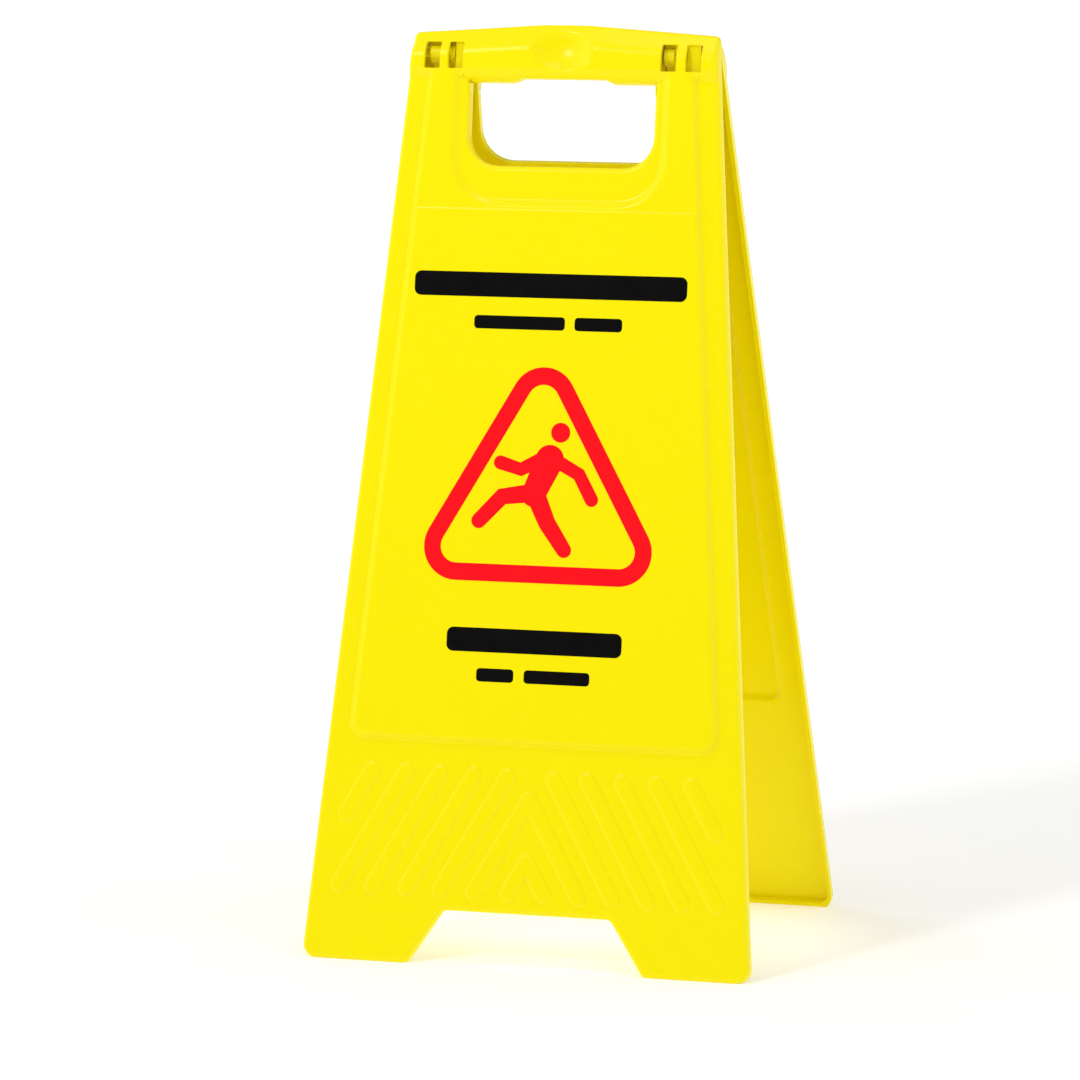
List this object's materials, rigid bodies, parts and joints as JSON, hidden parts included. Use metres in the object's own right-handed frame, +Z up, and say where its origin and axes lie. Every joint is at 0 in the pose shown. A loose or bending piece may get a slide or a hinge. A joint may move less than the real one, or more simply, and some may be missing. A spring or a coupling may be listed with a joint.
{
  "type": "wet floor sign",
  "caption": "Folding A-frame floor safety sign: ribbed, hollow-backed plastic panels hinged on pins below a split carrying handle.",
  "frame": {"origin": "on the floor under the middle of the open sign", "axes": "+Z up, +X along the hinge line and the handle, -Y towards the reader of the front panel"},
  "size_m": [0.3, 0.2344, 0.6],
  "materials": {
    "panel_plastic": "satin moulded polypropylene, yellow",
    "pin_plastic": "moulded nylon, yellow",
    "ink_black": "screen-printed ink, black",
    "ink_red": "screen-printed ink, red"
  },
  "bodies": {
    "front": {"front_panel": "panel_plastic", "hinge_pin_left": "pin_plastic", "hinge_pin_right": "pin_plastic"},
    "rear": {"rear_panel": "panel_plastic"}
  },
  "joints": [
    {"name": "fold", "type": "hinge", "parent": "front", "child": "rear", "pos_m": [0, 0, 0.58], "axis": [-1, 0, 0], "range_deg": [0, 21]}
  ]
}
